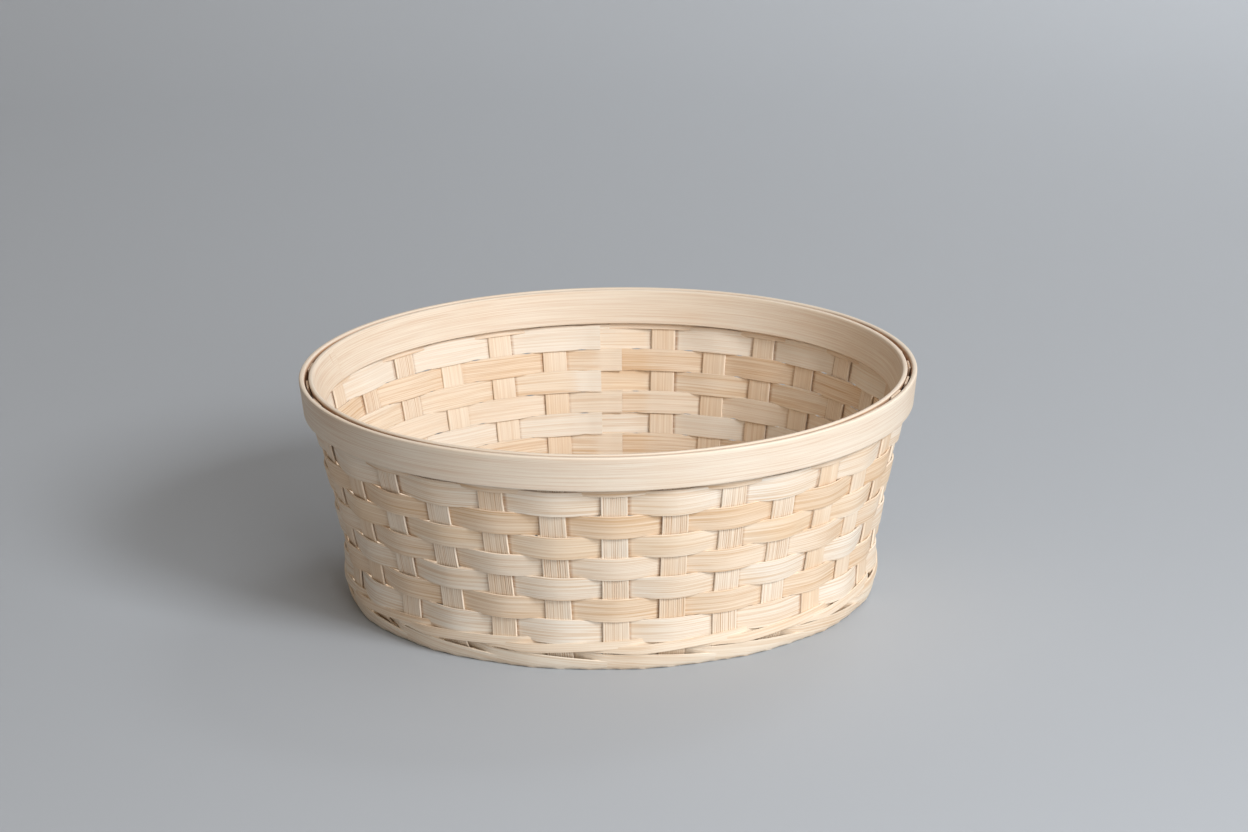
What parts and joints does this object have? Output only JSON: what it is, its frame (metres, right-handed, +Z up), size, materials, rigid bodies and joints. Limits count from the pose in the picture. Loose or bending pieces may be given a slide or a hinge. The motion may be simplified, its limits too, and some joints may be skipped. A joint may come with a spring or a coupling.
{
  "type": "woven splint basket",
  "caption": "Open round basket woven from flat pale wood splints, with a double bent rim hoop, a leaning plain-weave wall and a narrow twined foot band.",
  "frame": {"origin": "middle of the underside, on the surface the basket stands on", "axes": "+Z up along the basket's axis, -Y to the front, +X to the right seen from the front"},
  "size_m": [0.2402, 0.2402, 0.0877],
  "materials": {
    "upright_wood": "bare split wood, fine straight ribs along each upright, satin to matt",
    "pale_weaver_wood": "bare pale split wood, fine grain along the strip, matt with a soft sheen",
    "tan_weaver_wood": "bare tan split wood, stronger grain along the strip, matt with a soft sheen",
    "strand_wood": "bare pale narrow strands, matt",
    "hoop_wood": "sanded pale wood band, long straight grain, satin"
  },
  "bodies": {
    "root": {"cross_splint_1": "upright_wood", "cross_splint_2": "upright_wood", "cross_splint_3": "upright_wood", "cross_splint_5": "upright_wood", "cross_splint_6": "upright_wood", "cross_splint_7": "upright_wood", "cross_splint_8": "upright_wood", "half_cross_splint": "upright_wood", "long_splint_1": "upright_wood", "long_splint_2": "upright_wood", "long_splint_3": "upright_wood", "long_splint_4": "upright_wood", "long_splint_5": "upright_wood", "long_splint_6": "upright_wood", "long_splint_7": "upright_wood", "long_splint_8": "upright_wood", "weaver_1": "pale_weaver_wood", "weaver_2": "tan_weaver_wood", "weaver_3": "pale_weaver_wood", "weaver_4": "tan_weaver_wood", "weaver_5": "pale_weaver_wood", "weaver_6": "tan_weaver_wood", "weaver_7": "pale_weaver_wood", "top_weaver": "tan_weaver_wood", "upper_foot_strand_1": "strand_wood", "upper_foot_strand_2": "strand_wood", "lower_foot_strand_1": "strand_wood", "lower_foot_strand_2": "strand_wood", "base_weaver_1": "strand_wood", "base_weaver_2": "strand_wood", "base_weaver_3": "strand_wood", "outer_hoop": "hoop_wood", "inner_hoop": "hoop_wood"}
  },
  "joints": []
}
